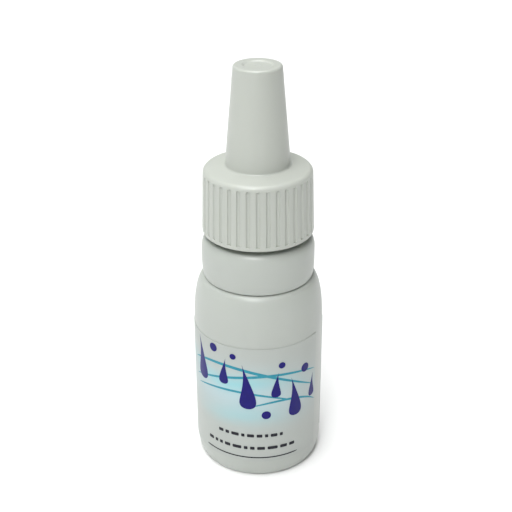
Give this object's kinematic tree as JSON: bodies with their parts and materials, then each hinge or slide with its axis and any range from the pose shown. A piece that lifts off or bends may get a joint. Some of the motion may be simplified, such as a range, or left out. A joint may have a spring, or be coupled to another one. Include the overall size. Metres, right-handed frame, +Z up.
{
  "type": "dropper bottle",
  "caption": "Small squeeze bottle with a pressed-in dropper nozzle, a wrap-round label and a ribbed screw cap with a long tapered spout cover.",
  "frame": {"origin": "centre of the bottle's foot ring, on the surface it stands on", "axes": "+Z up along the bottle's axis, -Y towards the front of the label"},
  "size_m": [0.0222, 0.0222, 0.0709],
  "materials": {
    "bottle_plastic": "white soft polyethylene, satin",
    "plug_plastic": "natural soft polyethylene, slightly see-through, satin",
    "cap_plastic": "white hard polyethylene, soft gloss",
    "label_film": "white coated label, semi-gloss"
  },
  "bodies": {
    "bottle": {"bottle": "bottle_plastic", "dropper_plug": "plug_plastic", "label": "label_film"},
    "cap": {"cap": "cap_plastic"}
  },
  "joints": [
    {"name": "cap_lift", "type": "slide", "parent": "bottle", "child": "cap", "axis": [0, 0, 1], "range_m": [0, 0.03]}
  ]
}
